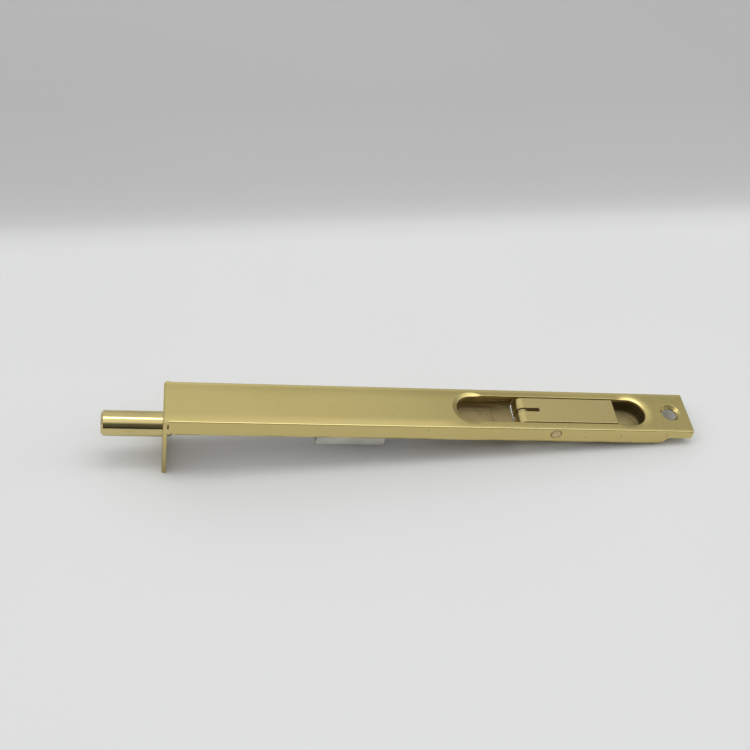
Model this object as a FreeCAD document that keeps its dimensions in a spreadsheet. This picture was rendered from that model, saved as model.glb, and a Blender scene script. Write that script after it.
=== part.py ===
import FreeCAD, Part
import math
import os
import re
import Sketcher

# Lever-action flush bolt, in millimetres.
#
# Frame: the origin lies on the bolt's axis, at the outer face of the end plate.
# +X runs along the face plate towards its screw hole, +Z is the face plate's outward normal,
# and the bolt's nose points along -X.
#
# The mechanism: the lever turns half a turn about its pivot. Its knuckle carries a crank pin,
# a flat link hangs from that pin and draws a connecting rod, and the rod moves the bolt.

DIMENSIONS = {
    # pressed case
    "face_length": 203,
    "face_width": 19.4,
    "sheet": 1.5,
    "face_rise": 12.7,
    "flange_depth": 7.1,
    "end_flange_depth": 4.0,
    "edge_round": 0.45,
    "inner_round": 0.4,
    "flange_start": 2.1,
    "flange_toe_rise": 2.1,
    "flange_toe_run": 1.7,
    "notch_start": 191.4,
    "notch_end": 193.3,
    "plate_height": 29.6,
    "plate_bend": 1.2,
    "plate_corner": 1.2,
    "bolt_hole_radius": 4.85,
    "screw_radius": 2.9,
    "screw_head_radius": 4.1,
    "screw_head_depth": 1.0,
    "face_screw_place": 195.7,
    "plate_screw_drop": 10.8,
    # opening in the face, symmetric about the pivot
    "pivot_place": 147,
    "pivot_drop": 3.0,
    "opening_reach": 38.1,
    "opening_half": 6.3,
    "chamfer_width": 1.6,
    "chamfer_depth": 0.43,
    "roll_width": 3.0,
    "roll_depth": 0.65,
    "rim_round": 0.3,
    # finger trays
    "tray_sheet": 0.6,
    "tray_half": 7.2,
    "tray_reach": 38.7,
    "tray_floor": 7.7,
    "tray_bend_place": 125.2,
    "ramp_end_place": 132.75,
    "ramp_rise": 1.5,
    "tray_round": 1.4,
    # lever and its crank
    "lever_half": 5.9,
    "lever_thickness": 5.9,
    "lever_end_place": 172.5,
    "lever_round": 0.2,
    "knuckle_low_round": 0.9,
    "crank": 11.35,
    "slot_half": 0.9,
    "slot_run": 6.05,
    "pivot_radius": 1.45,
    "pivot_rivet_radius": 2.3,
    "rivet_groove": 0.2,
    "rivet_bevel": 0.25,
    "running_gap": 0.05,
    "crank_pin_radius": 1.25,
    # link
    "link_thickness": 1.2,
    "link_offset": 0.2,
    "link_eye_radius": 2.7,
    "neck_half": 1.6,
    "neck_round": 2.0,
    "strip_top": 2.0,
    "strip_bottom": 3.0,
    "link_pin_place": 100,
    "seat_radius": 1.55,
    "seat_slope": 38,
    "link_tail": 4.7,
    # connecting rod and bolt
    "rod_radius": 2.75,
    "rod_end_place": 104,
    "rod_socket": 8,
    "rod_slot_place": 92.6,
    "rod_bevel": 0.5,
    "bolt_radius": 4.75,
    "bolt_reach": 22,
    "bolt_nose_bevel": 0.9,
    "bolt_heel": 3.8,
    "heel_radius": 4.4,
    "heel_bevel": 0.8,
    # guide saddle and friction spring
    "saddle_place": 56.7,
    "saddle_length": 26.1,
    "saddle_half": 5.0,
    "saddle_sheet": 1.0,
    "saddle_depth": 5.0,
    "saddle_foot": 7.5,
    "saddle_round": 1.3,
    "saddle_corner": 1.8,
    "spring_sheet": 0.4,
    "spring_half": 3.0,
    "spring_radius": 14.0,
    "spring_gap": 0.15,
}

# Heights in the frame, written with the sheet's names.
FACE_BACK = "(face_rise - sheet)"
PIVOT_RISE = "(face_rise - pivot_drop)"
PLATE_FOOT = "(face_rise - plate_height)"
CRANK_PLACE = "(pivot_place - crank)"
TRAY_TOP = "(face_rise - tray_floor)"

document = FreeCAD.newDocument("flush_bolt")
sheet = document.addObject("Spreadsheet::Sheet", "Dims")
for row, (alias, value) in enumerate(DIMENSIONS.items(), start=1):
    sheet.set(f"A{row}", str(value))
    sheet.setAlias(f"A{row}", alias)
document.recompute()


def bind(text):
    """The expression with each dimension's name turned into a reference to the sheet."""
    return re.sub(r"[a-z_]+", lambda m: f"Dims.{m[0]}" if m[0] in DIMENSIONS else m[0], text)


def amount(text):
    """The present value of an expression written with the sheet's names."""
    return float(sheet.evalExpression(bind(text)))


def new_body(name):
    body = document.addObject("PartDesign::Body", name)
    body.Label = name
    return body


def new_sketch(body, name, plane, offset=("0", "0", "0")):
    """An empty sketch on one of the body's origin planes. The offset is in the plane's own axes."""
    sketch = body.newObject("Sketcher::SketchObject", name)
    support = [f for f in body.Origin.OriginFeatures if f.Role == plane + "_Plane"][0]
    sketch.AttachmentSupport = [(support, "")]
    sketch.MapMode = "FlatFace"
    for axis, text in zip("xyz", offset):
        sketch.setExpression(f"AttachmentOffset.Base.{axis}", bind(text))
    return sketch


def hold_point(sketch, curve, end, x, y):
    """Fixes one point of a sketch curve at two expressions."""
    for kind, text, axis in (("DistanceX", x, -2), ("DistanceY", y, -1)):
        value = amount(text)
        if abs(value) < 1e-9:
            sketch.addConstraint(Sketcher.Constraint("PointOnObject", curve, end, axis))
            continue
        index = sketch.addConstraint(Sketcher.Constraint(kind, -1, 1, curve, end, value))
        sketch.setExpression(f"Constraints[{index}]", bind(text))


def hold_radius(sketch, curve, text):
    index = sketch.addConstraint(Sketcher.Constraint("Radius", curve, amount(text)))
    sketch.setExpression(f"Constraints[{index}]", bind(text))


def with_rounds(points):
    """Turns each corner given as (x, y, radius) between square sides into its two tangent points."""
    made = []
    count = len(points)
    for i, point in enumerate(points):
        if len(point) != 3:
            made.append(point)
            continue
        x, y, radius = point
        here = (amount(x), amount(y))
        before = points[i - 1]
        after = points[(i + 1) % count]
        ends = []
        for other in (before, after):
            step = (amount(other[0]) - here[0], amount(other[1]) - here[1])
            if abs(step[0]) > abs(step[1]):
                sign = "+" if step[0] > 0 else "-"
                ends.append((f"{x} {sign} {radius}", y, step))
            else:
                sign = "+" if step[1] > 0 else "-"
                ends.append((x, f"{y} {sign} {radius}", step))
        into, out = ends
        turn = -into[2][0] * out[2][1] + into[2][1] * out[2][0]
        made.append(into[:2])
        made.append((out[0], out[1], radius, 1 if turn > 0 else -1))
    return made


def draw_outline(sketch, points):
    """Draws a closed outline. A point is (x, y), or (x, y, radius) for a rounded square corner,
    or (x, y, radius, turn) for the end of an arc of at most half a turn: turn 1 is anticlockwise."""
    corners = with_rounds(points)
    places = [FreeCAD.Vector(amount(c[0]), amount(c[1]), 0) for c in corners]
    ends = []
    for i, corner in enumerate(corners):
        start = places[i - 1]
        stop = places[i]
        if len(corner) < 4:
            curve = sketch.addGeometry(Part.LineSegment(start, stop), False)
            ends.append((curve, 1, 2))
            continue
        radius = amount(corner[2])
        turn = corner[3]
        chord = stop - start
        side = FreeCAD.Vector(-chord.y, chord.x, 0).normalize()
        rise = math.sqrt(max(radius**2 - (chord.Length / 2) ** 2, 0))
        centre = (start + stop) / 2 + side * rise * turn
        first, last = (start, stop) if turn > 0 else (stop, start)
        angles = [math.atan2(p.y - centre.y, p.x - centre.x) for p in (first, last)]
        circle = Part.Circle(centre, FreeCAD.Vector(0, 0, 1), radius)
        curve = sketch.addGeometry(Part.ArcOfCircle(circle, angles[0], angles[1]), False)
        ends.append((curve, 1, 2) if turn > 0 else (curve, 2, 1))
    for i, corner in enumerate(corners):
        curve, _, stop = ends[i]
        following, start, _ = ends[(i + 1) % len(ends)]
        sketch.addConstraint(Sketcher.Constraint("Coincident", curve, stop, following, start))
        hold_point(sketch, curve, stop, corner[0], corner[1])
    for (curve, _, _), corner in zip(ends, corners):
        if len(corner) == 4:
            hold_radius(sketch, curve, corner[2])


def draw_circle(sketch, x, y, radius):
    centre = FreeCAD.Vector(amount(x), amount(y), 0)
    circle = Part.Circle(centre, FreeCAD.Vector(0, 0, 1), amount(radius))
    curve = sketch.addGeometry(circle, False)
    hold_point(sketch, curve, 3, x, y)
    hold_radius(sketch, curve, radius)


def pad(body, sketch, length, both_ways=False):
    feature = body.newObject("PartDesign::Pad", sketch.Name + "_pad")
    feature.Profile = sketch
    feature.SideType = "Symmetric" if both_ways else "One side"
    feature.setExpression("Length", bind(length))
    document.recompute()
    return feature


def volume_must_fall(body, before, name):
    if body.Shape.Volume > before - 1e-6:
        raise RuntimeError(f"{name} cuts nothing")


def pocket(body, sketch, both_ways=True, against_normal=True):
    """Cuts the sketch right through, both ways or to one side of its plane."""
    before = body.Shape.Volume
    feature = body.newObject("PartDesign::Pocket", sketch.Name + "_cut")
    feature.Profile = sketch
    feature.Type = "ThroughAll"
    feature.SideType = "Symmetric" if both_ways else "One side"
    feature.Reversed = not against_normal
    document.recompute()
    volume_must_fall(body, before, feature.Name)


def turned_cut(body, sketch, axis):
    """Cuts the solid that the sketch makes when it is turned about one of its own axes."""
    before = body.Shape.Volume
    feature = body.newObject("PartDesign::Groove", sketch.Name + "_cut")
    feature.Profile = sketch
    feature.ReferenceAxis = (sketch, [axis])
    feature.Angle = 360
    document.recompute()
    volume_must_fall(body, before, feature.Name)


def round_edges(body, name, radius, chosen):
    """Rounds every edge of the body's tip that the test picks."""
    tip = body.Tip
    edges = [f"Edge{i}" for i, edge in enumerate(tip.Shape.Edges, start=1) if chosen(edge)]
    if not edges:
        raise RuntimeError(f"{name} finds no edge")
    feature = body.newObject("PartDesign::Fillet", name)
    feature.Base = (tip, edges)
    feature.setExpression("Radius", bind(radius))
    document.recompute()


def on_plane(edge, axis, value):
    """True if the whole edge lies at one value of X, Y or Z."""
    low = getattr(edge.BoundBox, axis + "Min")
    high = getattr(edge.BoundBox, axis + "Max")
    return abs(low - value) < 1e-4 and abs(high - value) < 1e-4


def screw_profile(inner, outer, outward):
    """Half the section of a countersunk hole, turned about the sketch's axis.
    The axis is the sketch's Y for a hole in the face and its X for a hole in the end plate."""
    seat = f"{outer} - screw_head_depth * {outward}"
    points = [("0", inner), ("screw_radius", inner), ("screw_radius", seat)]
    points += [("screw_head_radius", outer), ("0", outer)]
    return points


def make_face_channel():
    """Face plate with two flanges and a bent-down end plate, pressed from one sheet."""
    body = new_body("face_channel")
    half = "face_width / 2"
    inner = "(face_width / 2 - sheet)"
    foot = "face_rise - flange_depth"
    section = new_sketch(body, "channel_section", "YZ", ("0", "0", "flange_start"))
    draw_outline(section, [
        (f"-{half}", foot),
        (f"-{inner}", foot),
        (f"-{inner}", FACE_BACK, "inner_round"),
        (inner, FACE_BACK, "inner_round"),
        (inner, foot),
        (half, foot),
        (half, "face_rise", "edge_round"),
        (f"-{half}", "face_rise", "edge_round"),
    ])
    pad(body, section, "face_length - flange_start")

    toe = new_sketch(body, "flange_toe", "XZ")
    draw_outline(toe, [
        ("flange_start", foot),
        ("flange_start + flange_toe_run", foot),
        ("flange_start", f"{foot} + flange_toe_rise"),
    ])
    pocket(body, toe)

    step = "face_rise - end_flange_depth"
    notch = new_sketch(body, "flange_notch", "XZ")
    draw_outline(notch, [
        ("notch_start", foot),
        ("face_length", foot),
        ("face_length", step),
        ("notch_end + 1", step),
        ("notch_end", f"{step} - 0.4", "1.2", 1),
    ])
    pocket(body, notch)

    bent = new_sketch(body, "end_plate", "XZ")
    draw_outline(bent, [
        ("0", PLATE_FOOT),
        ("sheet", PLATE_FOOT),
        ("sheet", FACE_BACK, "inner_round"),
        ("flange_start", FACE_BACK),
        ("flange_start", "face_rise"),
        ("0", "face_rise", "plate_bend"),
    ])
    pad(body, bent, "face_width", both_ways=True)

    for name, sign, turn in (("far_corner", "", -1), ("near_corner", "-", 1)):
        corner = new_sketch(body, name, "XY")
        draw_outline(corner, [
            ("0", f"{sign}{half}"),
            ("0", f"{sign}({half} - plate_corner)"),
            ("plate_corner", f"{sign}{half}", "plate_corner", turn),
        ])
        pocket(body, corner)

    bolt_hole = new_sketch(body, "bolt_hole", "YZ")
    draw_circle(bolt_hole, "0", "0", "bolt_hole_radius")
    pocket(body, bolt_hole)

    straight = "(opening_reach - opening_half)"
    opening = new_sketch(body, "opening", "XY", ("pivot_place", "0", "0"))
    draw_outline(opening, [
        (f"-{straight}", "opening_half"),
        ("-opening_reach", "0", "opening_half", 1),
        (f"-{straight}", "-opening_half", "opening_half", 1),
        (straight, "-opening_half"),
        ("opening_reach", "0", "opening_half", 1),
        (straight, "opening_half", "opening_half", 1),
    ])
    pocket(body, opening, both_ways=False, against_normal=False)

    # each end of the opening is dished for the finger: one is chamfered, the other rolled over
    roll_radius = "((roll_width * roll_width + roll_depth * roll_depth) / (2 * roll_depth))"
    lips = [
        ("left_lip", "-", "chamfer_depth", ("opening_half + chamfer_width", "face_rise")),
        ("right_lip", "+", "roll_depth", ("opening_half + roll_width", "face_rise", roll_radius, -1)),
    ]
    for name, sign, depth, outer_end in lips:
        lip = new_sketch(body, name, "XZ", (f"pivot_place {sign} {straight}", "0", "0"))
        draw_outline(lip, [
            ("0", f"face_rise - {depth}"),
            ("opening_half", f"face_rise - {depth}"),
            outer_end,
            ("0", "face_rise"),
        ])
        turned_cut(body, lip, "V_Axis")

    face_screw = new_sketch(body, "face_screw_hole", "XZ", ("face_screw_place", "0", "0"))
    draw_outline(face_screw, screw_profile(FACE_BACK, "face_rise", 1))
    turned_cut(body, face_screw, "V_Axis")

    plate_screw = new_sketch(body, "plate_screw_hole", "XZ", ("0", "-plate_screw_drop", "0"))
    profile = screw_profile("sheet", "0", -1)
    draw_outline(plate_screw, [(along, across) for across, along in profile])
    turned_cut(body, plate_screw, "H_Axis")

    pivot = new_sketch(body, "pivot_hole", "XY", ("pivot_place", "0", PIVOT_RISE))
    draw_outline(pivot, [
        ("0", f"-{half}"),
        ("pivot_rivet_radius", f"-{half}"),
        ("pivot_radius", f"-{inner}"),
        ("pivot_radius", inner),
        ("pivot_rivet_radius", half),
        ("0", half),
    ])
    turned_cut(body, pivot, "V_Axis")

    top = amount("face_rise")
    side = amount("opening_half")
    far_end = amount("face_length")

    def opening_side(edge):
        return on_plane(edge, "Z", top) and (on_plane(edge, "Y", side) or on_plane(edge, "Y", -side))

    def end_rim(edge):
        return on_plane(edge, "Z", top) and on_plane(edge, "X", far_end)

    round_edges(body, "opening_rim", "rim_round", opening_side)
    round_edges(body, "end_rim", "rim_round", end_rim)
    return body


def make_pivot_pin():
    """A shank with its ends riveted out into the flanges. A fine groove is left round each head."""
    body = new_body("pivot_pin")
    half = "face_width / 2"
    inner = "(face_width / 2 - sheet)"
    rim = "pivot_rivet_radius - (pivot_rivet_radius - pivot_radius) * rivet_groove / sheet"
    sketch = new_sketch(body, "pivot_section", "XY", ("pivot_place", "0", PIVOT_RISE))
    draw_outline(sketch, [
        ("0", f"-{half}"),
        ("pivot_rivet_radius - rivet_bevel", f"-{half}"),
        (rim, f"-{half} + rivet_groove"),
        ("pivot_radius", f"-{inner}"),
        ("pivot_radius", inner),
        (rim, f"{half} - rivet_groove"),
        ("pivot_rivet_radius - rivet_bevel", half),
        ("0", half),
    ])
    turn = body.newObject("PartDesign::Revolution", "pivot_turned")
    turn.Profile = sketch
    turn.ReferenceAxis = (sketch, ["V_Axis"])
    turn.Angle = 360
    document.recompute()
    return body


def make_tray_solid(name, inset):
    """The tray's outside, or with an inset of one sheet the hollow inside it, on the lever's left."""
    body = new_body(name)
    half = f"(tray_half + tray_sheet - {inset})"
    reach = f"(tray_reach + tray_sheet - {inset})"
    low = f"({TRAY_TOP} - tray_sheet + {inset})"
    bend = "tray_bend_place"
    end = "ramp_end_place"
    side = new_sketch(body, name + "_side", "XZ")
    back = f"pivot_place - {reach}"
    draw_outline(side, [
        (back, low),
        (bend, low),
        (end, f"{low} + ramp_rise"),
        (end, FACE_BACK),
        (back, FACE_BACK),
    ])
    pad(body, side, f"2 * {half}", both_ways=True)
    # what lies beyond the round end, seen from above
    plan = new_sketch(body, name + "_round", "XY")
    centre = f"{back} + {half}"
    draw_outline(plan, [
        (f"{back} - 1", "0"),
        (back, "0"),
        (centre, half, half, -1),
        (f"{centre}", f"{half} + 1"),
        (f"{back} - 1", f"{half} + 1"),
    ])
    pocket(body, plan)
    mirrored = new_sketch(body, name + "_round_too", "XY")
    draw_outline(mirrored, [
        (f"{back} - 1", "0"),
        (back, "0"),
        (centre, f"-{half}", half, 1),
        (f"{centre}", f"-{half} - 1"),
        (f"{back} - 1", f"-{half} - 1"),
    ])
    pocket(body, mirrored)

    def along_bottom(edge):
        level = amount(low)
        wide = amount(half)
        box = edge.BoundBox
        if box.ZMax > level + amount("ramp_rise") + 1e-3:
            return False
        flat_end = on_plane(edge, "Z", level) and box.XMax < amount(centre) + 1e-3
        sides = on_plane(edge, "Y", wide) or on_plane(edge, "Y", -wide)
        return flat_end or (sides and box.ZMax - box.ZMin < amount("ramp_rise") + 1e-3)

    round_edges(body, name + "_bottom", f"tray_round + tray_sheet - {inset}", along_bottom)
    return body


def make_finger_trays():
    """Two drawn trays under the opening. Each floor ramps up towards the pivot."""
    shell = make_tray_solid("tray_outside", "0")
    hollow = make_tray_solid("tray_hollow", "tray_sheet")
    left = document.addObject("Part::Cut", "left_finger_tray")
    left.Label = "left_finger_tray"
    left.Base = shell
    left.Tool = hollow
    right = document.addObject("Part::Mirroring", "right_finger_tray")
    right.Label = "right_finger_tray"
    right.Source = left
    right.Normal = (1, 0, 0)
    right.setExpression("Base.x", bind("pivot_place"))
    document.recompute()
    return [left, right]


def make_guide_saddle():
    """Hat-shaped guide for the connecting rod, its feet against the back of the face plate."""
    body = new_body("guide_saddle")
    sketch = new_sketch(body, "saddle_section", "YZ", ("0", "0", "saddle_place"))
    inner = "(saddle_half - saddle_sheet)"
    foot = f"{FACE_BACK} - saddle_sheet"
    floor = "-saddle_depth + saddle_sheet"
    draw_outline(sketch, [
        ("-saddle_foot", FACE_BACK),
        ("-saddle_foot", foot),
        ("-saddle_half", foot),
        ("-saddle_half", "-saddle_depth", "saddle_round"),
        ("saddle_half", "-saddle_depth", "saddle_round"),
        ("saddle_half", foot),
        ("saddle_foot", foot),
        ("saddle_foot", FACE_BACK),
        (inner, FACE_BACK, "saddle_sheet"),
        (inner, floor, "(saddle_round - saddle_sheet)"),
        (f"-{inner}", floor, "(saddle_round - saddle_sheet)"),
        (f"-{inner}", FACE_BACK, "saddle_sheet"),
    ])
    pad(body, sketch, "saddle_length")

    # the lower corner nearer the lever is rounded off, seen from the side
    end = "saddle_place + saddle_length"
    cut = new_sketch(body, "saddle_end", "XZ")
    draw_outline(cut, [
        (end, "-saddle_depth"),
        (end, "-saddle_depth + saddle_corner"),
        (f"{end} - saddle_corner", "-saddle_depth", "saddle_corner", -1),
    ])
    pocket(body, cut)
    return body


def make_friction_spring():
    """Bowed strip between the face plate's back and the connecting rod."""
    body = new_body("friction_spring")
    sketch = new_sketch(body, "spring_side", "XZ", ("saddle_place + saddle_length / 2", "0", "0"))
    bottom = "(rod_radius + spring_gap)"
    drop = f"({bottom} + spring_radius - {FACE_BACK})"
    outer = f"sqrt(spring_radius * spring_radius - {drop} * {drop})"
    less = "(spring_radius - spring_sheet)"
    inner = f"sqrt({less} * {less} - {drop} * {drop})"
    draw_outline(sketch, [
        (f"-{outer}", FACE_BACK),
        ("0", bottom, "spring_radius", 1),
        (outer, FACE_BACK, "spring_radius", 1),
        (inner, FACE_BACK),
        ("0", f"{bottom} + spring_sheet", less, -1),
        (f"-{inner}", FACE_BACK, less, -1),
    ])
    pad(body, sketch, "2 * spring_half", both_ways=True)
    return body


def make_lever():
    """Flat bar with a knuckle that is round on top. A slot splits the knuckle for the link."""
    body = new_body("lever")
    half = "lever_thickness / 2"
    side = new_sketch(body, "lever_side", "XZ", ("0", PIVOT_RISE, "0"))
    draw_outline(side, [
        ("lever_end_place", f"-{half}", "lever_round"),
        ("lever_end_place", half, "lever_round"),
        (CRANK_PLACE, half),
        (f"{CRANK_PLACE} - {half}", "0", half, 1),
        (f"{CRANK_PLACE} - {half}", f"-{half} + knuckle_low_round"),
        (f"{CRANK_PLACE} - {half} + knuckle_low_round", f"-{half}", "knuckle_low_round", 1),
    ])
    pad(body, side, "2 * lever_half", both_ways=True)

    slot = new_sketch(body, "link_slot", "XY")
    draw_outline(slot, [
        (f"{CRANK_PLACE} - lever_thickness", "-slot_half"),
        (f"{CRANK_PLACE} + slot_run", "-slot_half"),
        (f"{CRANK_PLACE} + slot_run", "slot_half"),
        (f"{CRANK_PLACE} - lever_thickness", "slot_half"),
    ])
    pocket(body, slot)

    bores = new_sketch(body, "lever_bores", "XZ", ("0", PIVOT_RISE, "0"))
    draw_circle(bores, "pivot_place", "0", "pivot_radius + running_gap")
    draw_circle(bores, CRANK_PLACE, "0", "crank_pin_radius")
    pocket(body, bores)

    wide = amount("lever_half")
    straight = amount(CRANK_PLACE)

    def long_side_edge(edge):
        at_side = on_plane(edge, "Y", wide) or on_plane(edge, "Y", -wide)
        return at_side and edge.Curve.TypeId == "Part::GeomLine" and edge.BoundBox.XMax > straight

    round_edges(body, "lever_edges", "lever_round", long_side_edge)
    return body


def make_link():
    """Flat link: an eye on the crank pin, a neck, and a strip whose open seat takes the rod's pin."""
    body = new_body("link")
    offset = ("0", "0", "link_offset")
    strip = new_sketch(body, "link_strip", "XZ", offset)
    draw_outline(strip, [
        ("link_pin_place - link_tail", "-strip_bottom", "1"),
        ("link_pin_place + link_tail", "-strip_bottom"),
        (f"{CRANK_PLACE} + neck_half", "0"),
        (f"{CRANK_PLACE} + neck_half", PIVOT_RISE),
        (f"{CRANK_PLACE} - neck_half", PIVOT_RISE),
        (f"{CRANK_PLACE} - neck_half", "strip_top", "neck_round"),
        ("link_pin_place - link_tail", "strip_top", "1"),
    ])
    pad(body, strip, "link_thickness", both_ways=True)

    eye = new_sketch(body, "link_eye", "XZ", offset)
    draw_circle(eye, CRANK_PLACE, PIVOT_RISE, "link_eye_radius")
    pad(body, eye, "link_thickness", both_ways=True)

    bore = new_sketch(body, "link_bore", "XZ")
    draw_circle(bore, CRANK_PLACE, PIVOT_RISE, "crank_pin_radius + running_gap")
    pocket(body, bore)

    # the open seat: a round bottom with two walls that lean apart
    reach = "(seat_radius * cos(seat_slope * 1deg))"
    drop = "(seat_radius * sin(seat_slope * 1deg))"
    mouth = f"({reach} + (strip_top + 1 + {drop}) * tan(seat_slope * 1deg))"
    seat = new_sketch(body, "pin_seat", "XZ", ("link_pin_place", "0", "0"))
    draw_outline(seat, [
        (f"-{mouth}", "strip_top + 1"),
        (f"-{reach}", f"-{drop}"),
        ("0", "-seat_radius", "seat_radius", 1),
        (reach, f"-{drop}", "seat_radius", 1),
        (mouth, "strip_top + 1"),
    ])
    pocket(body, seat)
    return body


def make_bolt_rod():
    """Round bolt with a bevelled nose. Its heel is turned slightly smaller and takes the rod."""
    body = new_body("bolt_rod")
    sketch = new_sketch(body, "bolt_section", "XZ")
    draw_outline(sketch, [
        ("-bolt_reach", "0"),
        ("-rod_socket", "0"),
        ("-rod_socket", "rod_radius"),
        ("bolt_heel", "rod_radius"),
        ("bolt_heel", "heel_radius - heel_bevel"),
        ("bolt_heel - heel_bevel", "heel_radius"),
        ("0", "heel_radius"),
        ("0", "bolt_radius"),
        ("-bolt_reach + bolt_nose_bevel", "bolt_radius"),
        ("-bolt_reach", "bolt_radius - bolt_nose_bevel"),
    ])
    turn = body.newObject("PartDesign::Revolution", "bolt_turned")
    turn.Profile = sketch
    turn.ReferenceAxis = (sketch, ["H_Axis"])
    turn.Angle = 360
    document.recompute()
    return body


def make_connecting_rod():
    """Round rod from the bolt's socket to a forked end that holds the link pin."""
    body = new_body("connecting_rod")
    section = new_sketch(body, "rod_section", "YZ", ("0", "0", "-rod_socket"))
    draw_circle(section, "0", "0", "rod_radius")
    pad(body, section, "rod_socket + rod_end_place")
    far_end = amount("rod_end_place")
    round_edges(body, "rod_end_bevel", "rod_bevel", lambda e: on_plane(e, "X", far_end))

    slot = new_sketch(body, "rod_slot", "XY")
    draw_outline(slot, [
        ("rod_slot_place", "-slot_half"),
        ("rod_end_place + 1", "-slot_half"),
        ("rod_end_place + 1", "slot_half"),
        ("rod_slot_place", "slot_half"),
    ])
    pocket(body, slot)

    hole = new_sketch(body, "rod_pin_hole", "XZ")
    draw_circle(hole, "link_pin_place", "0", "crank_pin_radius")
    pocket(body, hole)
    return body


def make_pin(name, x, z, length):
    """A plain pin across the mechanism."""
    pin = document.addObject("Part::Cylinder", name)
    pin.Label = name
    pin.setExpression("Radius", bind("crank_pin_radius"))
    pin.setExpression("Height", bind(length))
    pin.Placement.Rotation = FreeCAD.Rotation(FreeCAD.Vector(1, 0, 0), -90)
    pin.setExpression("Placement.Base.x", bind(x))
    pin.setExpression("Placement.Base.y", bind(f"-({length}) / 2"))
    pin.setExpression("Placement.Base.z", bind(z))
    document.recompute()
    return pin


pieces = [make_face_channel(), *make_finger_trays(), make_pivot_pin()]
pieces += [make_guide_saddle(), make_friction_spring()]
pieces += [make_lever(), make_pin("crank_pin", CRANK_PLACE, PIVOT_RISE, "2 * lever_half - 0.4")]
pieces += [make_link()]
pieces += [make_bolt_rod(), make_connecting_rod()]
pieces += [make_pin("link_pin", "link_pin_place", "0", "2 * rod_radius - 0.4")]

document.recompute()
for item in document.Objects:
    if "Invalid" in item.State or "Error" in item.State:
        raise RuntimeError(f"{item.Name} is {item.State}")
for piece in pieces:
    shape = piece.Shape
    if shape.isNull() or not shape.isValid() or len(shape.Solids) != 1:
        raise RuntimeError(f"{piece.Label} has no single valid solid")

os.makedirs("parts", exist_ok=True)
for piece in pieces:
    piece.Shape.exportStep(f"parts/{piece.Label}.step")
    box = piece.Shape.BoundBox
    print(piece.Label, round(piece.Shape.Volume, 2), [round(v, 2) for v in (
        box.XMin, box.XMax, box.YMin, box.YMax, box.ZMin, box.ZMax)])
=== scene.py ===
import math

import bpy
from mathutils import Matrix, Vector


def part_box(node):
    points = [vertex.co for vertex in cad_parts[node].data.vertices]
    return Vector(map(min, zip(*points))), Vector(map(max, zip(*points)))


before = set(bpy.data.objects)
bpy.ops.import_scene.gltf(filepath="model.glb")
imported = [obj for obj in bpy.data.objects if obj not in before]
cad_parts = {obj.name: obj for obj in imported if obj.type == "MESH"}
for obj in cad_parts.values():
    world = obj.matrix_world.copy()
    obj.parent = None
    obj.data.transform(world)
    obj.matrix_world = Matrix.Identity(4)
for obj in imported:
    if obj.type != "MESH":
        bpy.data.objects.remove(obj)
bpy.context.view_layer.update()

# places and sizes on the frame, in metres
MM = 0.001
PLATE_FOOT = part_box("face_channel")[0].z
PLATE_SHEET = 1.3 * MM
TRAY_GAP = 0.5 * MM
PIVOT = (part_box("pivot_pin")[0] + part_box("pivot_pin")[1]) / 2

# the case, in millimetres
FACE_END, FACE_HALF, FACE_TOP = (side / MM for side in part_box("face_channel")[1])
FLANGE_HEIGHT = 7.1
FLANGE_FOOT = FACE_TOP - FLANGE_HEIGHT
OPENING_REACH = 38.2
OPENING = (PIVOT.x / MM - OPENING_REACH, PIVOT.x / MM + OPENING_REACH)
OPENING_HALF = 6.3
SCREW_FROM_END = 7.3
SCREW_PLACE = FACE_END - SCREW_FROM_END
SCREW_SEAT = 4.0
RIVET_RADIUS = 1.85

# the lever and the bolt, in millimetres
LEVER_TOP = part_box("lever")[1].z / MM
SLOT_LENGTH = 6.1
SLOT_HALF = 0.95
SLOT_END = (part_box("crank_pin")[0].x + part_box("crank_pin")[1].x) / 2 / MM + SLOT_LENGTH
BOLT_NOSE, HEEL_END = (corner.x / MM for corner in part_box("bolt_rod"))

# the finger trays, in millimetres
TRAY_SHEET = 0.6
TRAY_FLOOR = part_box("left_finger_tray")[0].z / MM + TRAY_SHEET
TRAY_BEND = 125.2
RAMP_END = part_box("left_finger_tray")[1].x / MM
RAMP_RISE = 1.5
# height above the tray floor of the painted line of shade on the tray walls
SHADE_LINE_HEIGHT = 2.95
LONG_SCRATCH_CENTRE = (134.0, 9.5)
LONG_SCRATCH_RADIUS = 14.75


# ---------------------------------------------------------------- camera

CAMERA_PLACE = Vector((-2.18, -262.25, 313.37)) * MM
CAMERA_YAW = math.radians(-16.30)
CAMERA_PITCH = math.radians(46.08)
CAMERA_ROLL = math.radians(-13.51)
CAMERA_LENS = 52.45


def make_camera():
    """The photograph's viewpoint: level, then turned, tipped down and rolled."""
    data = bpy.data.cameras.new("camera")
    data.lens = CAMERA_LENS
    data.sensor_width = 36
    data.clip_start = 0.01
    data.clip_end = 20
    camera = bpy.data.objects.new("camera", data)
    bpy.context.collection.objects.link(camera)
    level = Matrix.Rotation(math.radians(90), 4, "X")
    turn = Matrix.Rotation(CAMERA_YAW, 4, "Z")
    tip = Matrix.Rotation(-CAMERA_PITCH, 4, "X")
    roll = Matrix.Rotation(CAMERA_ROLL, 4, "Y")
    camera.matrix_world = Matrix.Translation(CAMERA_PLACE) @ turn @ tip @ roll @ level
    bpy.context.scene.camera = camera


make_camera()


# ---------------------------------------------------------------- node helpers

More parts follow.
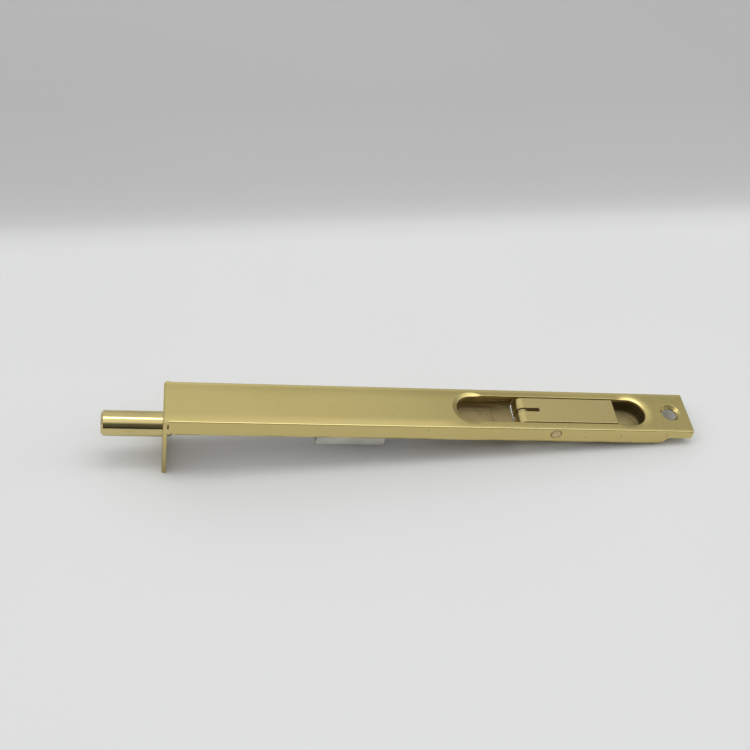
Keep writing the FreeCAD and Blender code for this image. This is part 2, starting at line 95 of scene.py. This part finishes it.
class Nodes:
    """A short way to write a node tree: each call adds nodes and gives their output."""

    def __init__(self, tree):
        self.tree = tree

    def node(self, kind, **settings):
        made = self.tree.nodes.new(kind)
        for key, value in settings.items():
            setattr(made, key, value)
        return made

    def join(self, source, target):
        self.tree.links.new(source, target)

    def fill(self, slot, value):
        """Sets a socket to a number or a colour, or links it to another node's output."""
        if isinstance(value, (int, float)):
            slot.default_value = value
        elif isinstance(value, tuple):
            slot.default_value = (*value, 1)
        else:
            self.join(value, slot)

    def math(self, operation, a, b=None):
        made = self.node("ShaderNodeMath", operation=operation)
        self.fill(made.inputs[0], a)
        if b is not None:
            self.fill(made.inputs[1], b)
        return made.outputs[0]

    def plus(self, a, b):
        return self.math("ADD", a, b)

    def minus(self, a, b):
        return self.math("SUBTRACT", a, b)

    def times(self, first, *others):
        product = first
        for other in others:
            product = self.math("MULTIPLY", product, other)
        return product

    def distance(self, a, b):
        return self.math("SQRT", self.plus(self.math("POWER", a, 2.0), self.math("POWER", b, 2.0)))

    def level(self, value, low, high, to_low=0.0, to_high=1.0):
        """Maps a value from one range to another, clamped."""
        made = self.node("ShaderNodeMapRange")
        made.inputs["From Min"].default_value = low
        made.inputs["From Max"].default_value = high
        made.inputs["To Min"].default_value = to_low
        made.inputs["To Max"].default_value = to_high
        self.join(value, made.inputs["Value"])
        return made.outputs[0]

    def within(self, value, low, high, soft=0.15):
        """1 where the value lies between two limits, with soft ends."""
        above = self.level(value, low - soft, low)
        below = self.level(value, high, high + soft, 1.0, 0.0)
        return self.times(above, below)

    def curve(self, value, stops):
        """A grey tone that follows a few stops."""
        made = self.node("ShaderNodeValToRGB")
        elements = made.color_ramp.elements
        while len(elements) < len(stops):
            elements.new(0.5)
        for element, (place, tone) in zip(elements, stops):
            element.position = place
            element.color = (tone, tone, tone, 1)
        self.join(value, made.inputs[0])
        return made.outputs[0]

    def fade(self, share, before, after):
        """From one brightness to another."""
        made = self.node("ShaderNodeMix", data_type="FLOAT")
        self.join(share, made.inputs["Factor"])
        self.fill(made.inputs["A"], before)
        self.fill(made.inputs["B"], after)
        return made.outputs[0]


class Graph(Nodes):
    """A material's nodes, in the object's own coordinates."""

    def __init__(self, name):
        self.material = bpy.data.materials.new(name)
        self.material.use_nodes = True
        super().__init__(self.material.node_tree)
        self.tree.nodes.clear()
        output = self.node("ShaderNodeOutputMaterial")
        self.shader = self.node("ShaderNodeBsdfPrincipled")
        self.join(self.shader.outputs[0], output.inputs["Surface"])

    def place(self, scale=(1, 1, 1), turn=(0, 0, 0)):
        """Object coordinates in millimetres, stretched by scale."""
        where = self.node("ShaderNodeTexCoord")
        mapping = self.node("ShaderNodeMapping")
        mapping.inputs["Scale"].default_value = [s / MM for s in scale]
        mapping.inputs["Rotation"].default_value = turn
        self.join(where.outputs["Object"], mapping.inputs["Vector"])
        return mapping.outputs[0]

    def axis(self, name):
        """One object coordinate in millimetres."""
        split = self.node("ShaderNodeSeparateXYZ")
        self.join(self.place(), split.inputs[0])
        return split.outputs[name]

    def noise(self, scale, detail=2.0, roughness=0.5, distortion=0.0, turn=(0, 0, 0)):
        made = self.node("ShaderNodeTexNoise")
        made.inputs["Scale"].default_value = 1.0
        made.inputs["Detail"].default_value = detail
        made.inputs["Roughness"].default_value = roughness
        made.inputs["Distortion"].default_value = distortion
        self.join(self.place(scale, turn), made.inputs["Vector"])
        return made.outputs["Fac"]

    def mix(self, amount, a, b, blend="MIX"):
        made = self.node("ShaderNodeMix", data_type="RGBA", blend_type=blend)
        for slot, value in zip((made.inputs[0], made.inputs[6], made.inputs[7]), (amount, a, b)):
            self.fill(slot, value)
        return made.outputs[2]

    def bump(self, height, strength, distance_mm, base=None):
        made = self.node("ShaderNodeBump")
        made.inputs["Strength"].default_value = strength
        made.inputs["Distance"].default_value = distance_mm * MM
        self.join(height, made.inputs["Height"])
        if base is not None:
            self.join(base, made.inputs["Normal"])
        return made.outputs[0]

    def soft_edges(self, radius_mm):
        made = self.node("ShaderNodeBevel")
        made.samples = 4
        made.inputs["Radius"].default_value = radius_mm * MM
        return made.outputs[0]

    def set(self, **values):
        for name, value in values.items():
            self.fill(self.shader.inputs[name.replace("_", " ")], value)
        return self.material


# ---------------------------------------------------------------- materials

def satin_brass(name, colour, dark, rough=(0.26, 0.33), marks=0.6, grime_and_painted_light=()):
    """Lacquered satin brass: a fine lengthwise grain, a cloudy tone and small handling marks.
    Each entry tints one place, some with dirt and some with painted light and shade; its third value is
    the share of metal that goes missing there."""
    g = Graph(name)
    cloud = g.noise((0.03, 0.07, 0.07), detail=3)
    fine = g.noise((0.35, 3.0, 3.0), detail=4, roughness=0.65)
    streak = g.noise((0.015, 0.9, 0.9), detail=2)
    tone = g.plus(g.times(cloud, 0.85), g.times(streak, 0.15))
    tint = g.mix(g.level(tone, 0.35, 0.65), dark, colour)
    speck = g.noise((0.45, 1.0, 1.0), detail=2, roughness=0.6)
    where = g.noise((0.06, 0.2, 0.2), detail=1)
    spots = g.times(g.level(speck, 0.70, 0.74), g.level(where, 0.54, 0.6))
    tint = g.mix(g.times(spots, marks), tint, (0.10, 0.075, 0.03))
    metal = 1.0
    # each layer tints one place: some are dirt, others are painted light and shade
    for tint_layer in grime_and_painted_light:
        amount, stain_and_light_tint, metal_loss = tint_layer(g)
        tint = g.mix(amount, tint, stain_and_light_tint)
        if metal_loss:
            metal = g.minus(metal, g.times(amount, metal_loss))
    rough_map = g.level(g.plus(fine, g.times(cloud, 0.6)), 0.5, 1.1, *rough)
    relief = g.bump(fine, 0.1, 0.006, g.soft_edges(0.1))
    return g.set(Base_Color=tint, Metallic=metal, Roughness=rough_map, Normal=relief)


def on_face(g, amount=1.0):
    """The height of the face's outer side and of its bends into the flanges."""
    return g.level(g.axis("Z"), FACE_TOP - 0.4, FACE_TOP - 0.2, 0.0, amount)


def plate_foot_darkening(g):
    """The bent-down end plate is painted darker towards its foot."""
    return g.level(g.axis("Z"), -14.0, 7.0, 0.45, 0.0), (0.20, 0.155, 0.07), 0


def opening_wall_darkening(g):
    """The cut walls of the opening are painted a darker brown and made less metallic."""
    long = g.within(g.axis("X"), OPENING[0], OPENING[1], 0.05)
    wide = g.level(g.math("ABSOLUTE", g.axis("Y")), OPENING_HALF + 0.1, OPENING_HALF + 0.15, 1.0, 0.0)
    deep = g.level(g.axis("Z"), FACE_TOP - 0.7, FACE_TOP - 0.5, 1.0, 0.0)
    return g.times(long, wide, deep), (0.36, 0.28, 0.12), 0.3


def flange_spots(g):
    """Dark pits on the flanges, most of them towards the screw end, and a dark line along their feet."""
    side = g.level(g.math("ABSOLUTE", g.axis("Y")), FACE_HALF - 0.35, FACE_HALF - 0.2)
    side = g.times(side, g.level(g.axis("X"), 4.0, 5.0))
    speck = g.noise((0.55, 0.6, 0.6), detail=3, roughness=0.7, distortion=0.5)
    few = g.level(g.axis("X"), 60.0, 200.0, 0.71, 0.655)
    pits = g.level(g.minus(speck, few), 0.0, 0.03)
    foot = g.level(g.axis("Z"), FLANGE_FOOT + 0.1, FLANGE_FOOT + 0.7, 1.0, 0.0)
    worn = g.noise((0.08, 0.3, 0.3), detail=3)
    foot = g.times(foot, g.level(worn, 0.42, 0.62, 0.1, 0.8))
    return g.times(side, g.math("MAXIMUM", pits, foot)), (0.12, 0.09, 0.035), 0.3


def face_painted_reflection(g):
    """Painted reflection: the face is painted a little greener than the flanges."""
    return on_face(g, 0.25), (0.60, 0.56, 0.215), 0


def painted_crown_shade(g):
    """Painted shade: the far long edge and the surround of the opening are painted darker, standing for
    the shading of a slightly crowned sheet.
    """
    far = g.times(g.level(g.axis("Y"), 4.0, 8.2), g.level(g.axis("X"), 0.0, 90.0, 0.45, 1.0))
    far = g.times(far, g.level(g.axis("X"), 122.0, 160.0, 1.0, 0.25))
    shade = g.plus(g.times(far, 0.19), 0.015)
    opening_shade = g.level(g.axis("X"), 88.0, 104.0, 0.0, 0.07)
    opening_shade = g.times(opening_shade, g.level(g.axis("X"), 145.0, 160.0, 1.0, 0.0))
    return g.times(on_face(g), g.plus(shade, opening_shade)), (0.0, 0.0, 0.0), 0


def painted_crown_highlight(g):
    """Painted highlight: the near long edge is painted brighter, up to the opening, standing for light on
    a slightly crowned sheet.
    """
    near = g.level(g.times(g.axis("Y"), -1.0), 5.4, 8.3)
    near = g.times(near, g.level(g.axis("X"), 0.0, 90.0, 0.35, 1.0))
    near = g.times(near, g.level(g.axis("X"), 103.0, 112.0, 1.0, 0.0))
    near = g.times(near, g.level(g.axis("Y"), 0.9 - FACE_HALF, 0.6 - FACE_HALF, 1.0, 0.4))
    return g.times(on_face(g), near), (0.87, 0.705, 0.295), 0


def countersink_painted_reflection(g):
    """Painted reflections: dark patches in the face's countersink stand for its crisp mirror-like
    reflections, with faint turning rings.
    """
    across = g.minus(g.axis("X"), SCREW_PLACE)
    radius = g.distance(across, g.axis("Y"))
    seat = g.level(radius, SCREW_SEAT - 0.05, SCREW_SEAT + 0.05, 1.0, 0.0)
    reflection_blot = g.noise((0.45, 0.45, 0.2), detail=2, roughness=0.7)
    ring = g.math("SINE", g.times(radius, 16.0))
    dark = g.level(g.plus(reflection_blot, g.times(ring, 0.06)), 0.46, 0.54)
    return g.times(seat, dark, 0.75), (0.13, 0.10, 0.04), 0


def edge_painted_highlight(g):
    """Painted highlight: the face is painted brighter along its two long edges, where the sheet rolls
    towards its bends.
    """
    across = g.math("ABSOLUTE", g.axis("Y"))
    band = g.within(across, FACE_HALF - 0.9, FACE_HALF - 0.45, 0.9)
    top = g.level(g.axis("Z"), FACE_TOP - 0.3, FACE_TOP - 0.1)
    return g.times(band, top, 0.5), (0.80, 0.67, 0.30), 0


def slot_darkening(g):
    """The link's slot in the lever is painted a darker brown inside and made less metallic."""
    slot = g.within(g.axis("Y"), -SLOT_HALF, SLOT_HALF, 0.03)
    deep = g.level(g.axis("Z"), LEVER_TOP - 0.15, LEVER_TOP - 0.3, 0.0, 0.9)
    run = g.level(g.axis("X"), SLOT_END, SLOT_END + 0.03, 1.0, 0.0)
    return g.times(slot, run, deep), (0.30, 0.19, 0.08), 0.9


def rivet_grime(g):
    """A dark line round the riveted head and a faint curved tool mark inside it."""
    across = g.minus(g.axis("X"), PIVOT.x / MM)
    up = g.minus(g.axis("Z"), PIVOT.z / MM)
    radius = g.distance(across, up)
    ring = g.times(g.level(radius, RIVET_RADIUS - 0.1, RIVET_RADIUS + 0.1), 0.85)
    shifted = g.plus(radius, g.times(across, 0.35))
    mark = g.times(g.within(shifted, 0.95, 1.1), 0.45)
    return g.math("MAXIMUM", ring, mark), (0.20, 0.11, 0.06), 0.3


def tray_brass():
    """Drawn sheet left dull: soft stains and a few long scratches, with painted light and shade: darker
    rounds and walls, pale streaks and a dark line on the walls, and the two trays in lighter and darker
    tones.
    """
    g = Graph("tray_brass")
    cloud = g.noise((0.11, 0.13, 0.13), detail=4, distortion=0.6)
    fine = g.noise((2.0, 2.4, 2.0), detail=3)
    tint = g.mix(g.level(cloud, 0.35, 0.7), (0.41, 0.33, 0.155), (0.46, 0.375, 0.175))
    # painted light and shade: the right tray's floor is painted lighter than the left's and its walls
    # darker
    right = g.level(g.axis("X"), 125.0, 170.0)
    darker = g.mix(1.0, tint, (0.94, 0.94, 0.94), "MULTIPLY")
    lighter = g.mix(1.0, tint, (1.2, 1.2, 1.2), "MULTIPLY")
    tint = g.mix(right, darker, lighter)
    long = g.noise((0.16, 0.07, 0.1), detail=0, turn=(0, 0, 0.5))
    line = g.math("ABSOLUTE", g.minus(long, 0.5))
    other = g.noise((0.10, 0.16, 0.1), detail=0, turn=(0, 0, -0.7))
    line = g.math("MINIMUM", line, g.math("ABSOLUTE", g.minus(other, 0.44)))
    scratch = g.level(line, 0.0, 0.006, 1.0, 0.0)
    # the fold at the foot of each ramp, and one long curved scratch on the left floor
    along = g.math("MINIMUM", g.axis("X"), g.minus(2 * PIVOT.x / MM, g.axis("X")))
    fold = g.times(g.within(along, TRAY_BEND - 0.06, TRAY_BEND + 0.06, 0.1), 1.3)
    across, up = (g.minus(g.axis(name), centre) for name, centre in zip("XY", LONG_SCRATCH_CENTRE))
    bow = g.distance(across, up)
    curved = g.within(bow, LONG_SCRATCH_RADIUS - 0.05, LONG_SCRATCH_RADIUS + 0.05, 0.08)
    scratch = g.math("MAXIMUM", scratch, g.math("MAXIMUM", fold, curved))
    tint = g.mix(g.times(scratch, 0.55), tint, (0.12, 0.09, 0.05))
    split = g.node("ShaderNodeSeparateXYZ")
    g.join(g.node("ShaderNodeNewGeometry").outputs["Normal"], split.inputs[0])
    level = g.math("ABSOLUTE", split.outputs["Z"])
    upright = g.level(level, 0.3, 0.9, 1.0, 0.0)
    # painted shade: dark in the bottom's rounds, brown up the walls, and darker still on the right tray's
    # walls
    tint = g.mix(g.level(level, 0.9, 0.999, 1.0, 0.0), tint, (0.15, 0.115, 0.055))
    wall = g.mix(right, (0.31, 0.245, 0.12), (0.11, 0.085, 0.04))
    # pale streaks painted on the wall beside the knuckle, painted reflections in the drawn wall
    painted_glints = g.level(g.noise((0.12, 0.5, 1.3), detail=3, roughness=0.6), 0.50, 0.58)
    beside = g.within(g.axis("X"), 121.0, 133.0, 4.0)
    wall = g.mix(g.times(painted_glints, beside, 0.75), wall, (0.66, 0.54, 0.27))
    tint = g.mix(upright, tint, wall)
    # a painted line of shade along the walls, which follows the floor up its ramp
    floor = g.level(along, TRAY_BEND, RAMP_END, TRAY_FLOOR, TRAY_FLOOR + RAMP_RISE)
    above = g.minus(g.axis("Z"), floor)
    shade_line = g.times(g.within(above, SHADE_LINE_HEIGHT - 0.15, SHADE_LINE_HEIGHT + 0.15), upright)
    tint = g.mix(g.times(shade_line, 0.85), tint, (0.03, 0.02, 0.01))
    rough = g.level(cloud, 0.3, 0.7, 0.48, 0.58)
    return g.set(Base_Color=tint, Metallic=0.8, Roughness=rough,
                 Normal=g.bump(fine, 0.12, 0.01, g.soft_edges(0.2)))


def turned_brass():
    """The bolt: polished brass drawn lengthwise, so its highlights are long and sharp."""
    g = Graph("bolt_bronze")
    drawn = g.noise((0.12, 2.2, 2.2), detail=3, roughness=0.6)
    cloud = g.noise((0.12, 0.12, 0.12), detail=3)
    tint = g.mix(g.level(cloud, 0.3, 0.7), (0.60, 0.50, 0.225), (0.68, 0.565, 0.26))
    # the end of the heel is painted black
    tint = g.mix(g.level(g.axis("X"), HEEL_END - 0.9, HEEL_END - 0.6, 0.0, 0.9), tint, (0.05, 0.035, 0.02))
    bevel = g.level(g.axis("X"), BOLT_NOSE + 0.8, BOLT_NOSE + 1.0, 0.16, 0.0)
    rough = g.plus(g.level(drawn, 0.3, 0.75, 0.07, 0.12), bevel)
    return g.set(Base_Color=tint, Metallic=1.0, Roughness=rough,
                 Normal=g.bump(drawn, 0.16, 0.006, g.soft_edges(0.1)))


def steel(name, colour, rough, stain_and_light_tint=(0.3, 0.3, 0.31)):
    """Drawn or plated steel with a streaky grain and a patchy bloom."""
    g = Graph(name)
    streak = g.noise((0.06, 1.8, 1.8), detail=4, roughness=0.65)
    patch = g.noise((0.16, 0.16, 0.16), detail=3)
    tint = g.mix(g.level(patch, 0.35, 0.7), stain_and_light_tint, colour)
    tint = g.mix(g.times(g.level(streak, 0.6, 0.75), 0.25), tint, (0.2, 0.2, 0.21))
    return g.set(Base_Color=tint, Metallic=1.0, Roughness=g.level(streak, 0.3, 0.75, *rough),
                 Normal=g.bump(streak, 0.2, 0.012, g.soft_edges(0.12)))


def paint_nodes():
    # the case's layers hold painted light and shade as well as pits and marks
    case_grime_and_painted_light = (face_painted_reflection, painted_crown_shade, painted_crown_highlight, plate_foot_darkening, edge_painted_highlight, opening_wall_darkening,
                   countersink_painted_reflection, flange_spots)
    case = satin_brass("case_brass", (0.665, 0.54, 0.225), (0.635, 0.515, 0.21), marks=0.02,
                       grime_and_painted_light=case_grime_and_painted_light)
    lever = satin_brass("lever_brass", (0.665, 0.545, 0.24), (0.635, 0.52, 0.225), marks=0.5,
                        grime_and_painted_light=(slot_darkening,))
    eye = satin_brass("link_brass", (0.60, 0.49, 0.21), (0.50, 0.40, 0.17), rough=(0.2, 0.32))
    rivet = satin_brass("pivot_bronze", (0.68, 0.54, 0.28), (0.62, 0.47, 0.25), marks=0.1,
                        grime_and_painted_light=(rivet_grime,))
    tray = tray_brass()
    looks = {
        "face_channel": case,
        "left_finger_tray": tray,
        "right_finger_tray": tray,
        "pivot_pin": rivet,
        "lever": lever,
        "link": eye,
        "bolt_rod": turned_brass(),
        "guide_saddle": steel("zinc_steel", (0.74, 0.73, 0.66), (0.42, 0.55), stain_and_light_tint=(0.6, 0.59, 0.53)),
        "friction_spring": steel("spring_steel", (0.45, 0.45, 0.47), (0.2, 0.3)),
        "connecting_rod": steel("rod_steel", (0.5, 0.5, 0.5), (0.22, 0.35)),
        "crank_pin": steel("pin_steel", (0.55, 0.55, 0.56), (0.15, 0.25)),
    }
    looks["link_pin"] = looks["crank_pin"]
    for name, look in looks.items():
        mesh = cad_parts[name].data
        mesh.materials.clear()
        mesh.materials.append(look)


paint_nodes()


# ---------------------------------------------------------------- floor and light

def floor_frame():
    """Where the part stands: on the foot of its end plate and, nearly, on the right tray's bottom."""
    tray_low, tray_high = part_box("right_finger_tray")
    run = tray_high.x - PLATE_SHEET
    rise = tray_low.z - PLATE_FOOT - TRAY_GAP
    slope = math.atan2(rise, run)
    return Matrix.Translation((PLATE_SHEET, 0, PLATE_FOOT)) @ Matrix.Rotation(-slope, 4, "Y")


# The paper's reach each way in metres, and the painted shade that darkens it behind the part,
# standing for a shaded backdrop: distance in millimetres and share of its tone.
PAPER_REACH = 2.0
PAPER_PAINTED_SHADE = [(118, 1.0), (128, 0.92), (137, 0.77), (147, 0.69), (165, 0.65), (230, 0.615), (330, 0.63)]


def make_stage():
    """One flat sheet of pale paper, painted darker behind the part as painted shade for a backdrop.
    Nothing upright stands behind it to hide the part in other views.
    """
    mesh = bpy.data.meshes.new("floor")
    corners = [(-1, -1), (1, -1), (1, 1), (-1, 1)]
    mesh.from_pydata([(x * PAPER_REACH, y * PAPER_REACH, 0) for x, y in corners], [], [(0, 1, 2, 3)])
    mesh.update()
    floor = bpy.data.objects.new("floor", mesh)
    bpy.context.collection.objects.link(floor)
    floor.matrix_world = floor_frame()
    g = Graph("floor_paper")
    soft = g.noise((0.004, 0.004, 0.004), detail=2)
    fine = g.noise((0.7, 0.7, 0.7), detail=2)
    tint = g.mix(g.level(soft, 0.3, 0.7), (0.72, 0.73, 0.725), (0.75, 0.76, 0.755))
    first, last = PAPER_PAINTED_SHADE[0][0], PAPER_PAINTED_SHADE[-1][0]
    stops = [((place - first) / (last - first), tone) for place, tone in PAPER_PAINTED_SHADE]
    # painted shade: the paper darkens behind the part
    fade = g.curve(g.level(g.axis("Y"), first, last), stops)
    tint = g.mix(1.0, tint, fade, "MULTIPLY")
    mesh.materials.append(g.set(Base_Color=tint, Roughness=0.6, Normal=g.bump(fine, 0.05, 0.05)))


# The room's brightness, by the angle from the horizon in front over the top to the horizon behind.
ROOM_PEAK = 2.6
ROOM_ARCH = [(0, 0.02), (8, 0.03), (20, 0.10), (42, 0.15), (52, 0.55), (60, 1.05), (84, 1.1),
             (92, 2.4), (99, 2.4), (107, 1.0), (118, 0.78), (135, 0.75), (152, 0.7), (180, 0.5)]
# Its fall towards the right, behind the part.
ROOM_SIDE = [(0.05, 1.0), (0.2, 0.9), (0.27, 0.77), (0.42, 0.68), (0.6, 0.37), (1.0, 0.33)]


def make_world():
    """A studio room: a broad soft panel overhead, pale behind, dark where the viewer stands."""
    world = bpy.data.worlds.new("studio")
    bpy.context.scene.world = world
    world.use_nodes = True
    n = Nodes(world.node_tree)
    split = n.node("ShaderNodeSeparateXYZ")
    n.join(n.node("ShaderNodeTexCoord").outputs["Generated"], split.inputs[0])
    x, y, z = split.outputs
    share = n.times(n.math("ARCTAN2", z, n.times(y, -1.0)), 1 / math.pi)
    arch = n.curve(share, [(angle / 180, level / ROOM_PEAK) for angle, level in ROOM_ARCH])
    side = n.fade(n.level(share, 0.52, 0.62), 1.0, n.curve(x, ROOM_SIDE))
    glow = n.times(arch, side, ROOM_PEAK)
    # plain grey below the horizon and at the two ends, where the arch would run to a point
    glow = n.fade(n.level(n.times(z, -1.0), 0.0, 0.02), glow, 0.6)
    glow = n.fade(n.level(n.math("ABSOLUTE", x), 0.90, 0.985), glow, 0.45)
    n.join(glow, world.node_tree.nodes["Background"].inputs["Color"])


LAMP_PLACE = Vector((0.11, 0.08, 0.92))
LAMP_TARGET = Vector((0.09, 0, 0))
LAMP_SIZE = (0.6, 0.12)
LAMP_POWER = 0.9


def make_light():
    make_world()
    data = bpy.data.lights.new("overhead", "AREA")
    data.shape = "RECTANGLE"
    data.size, data.size_y = LAMP_SIZE
    data.energy = LAMP_POWER
    lamp = bpy.data.objects.new("overhead", data)
    bpy.context.collection.objects.link(lamp)
    lamp.location = LAMP_PLACE
    lamp.rotation_mode = "QUATERNION"
    lamp.rotation_quaternion = (LAMP_TARGET - LAMP_PLACE).to_track_quat("-Z", "Y")
    bpy.context.scene.view_settings.view_transform = "Standard"


make_stage()
make_light()
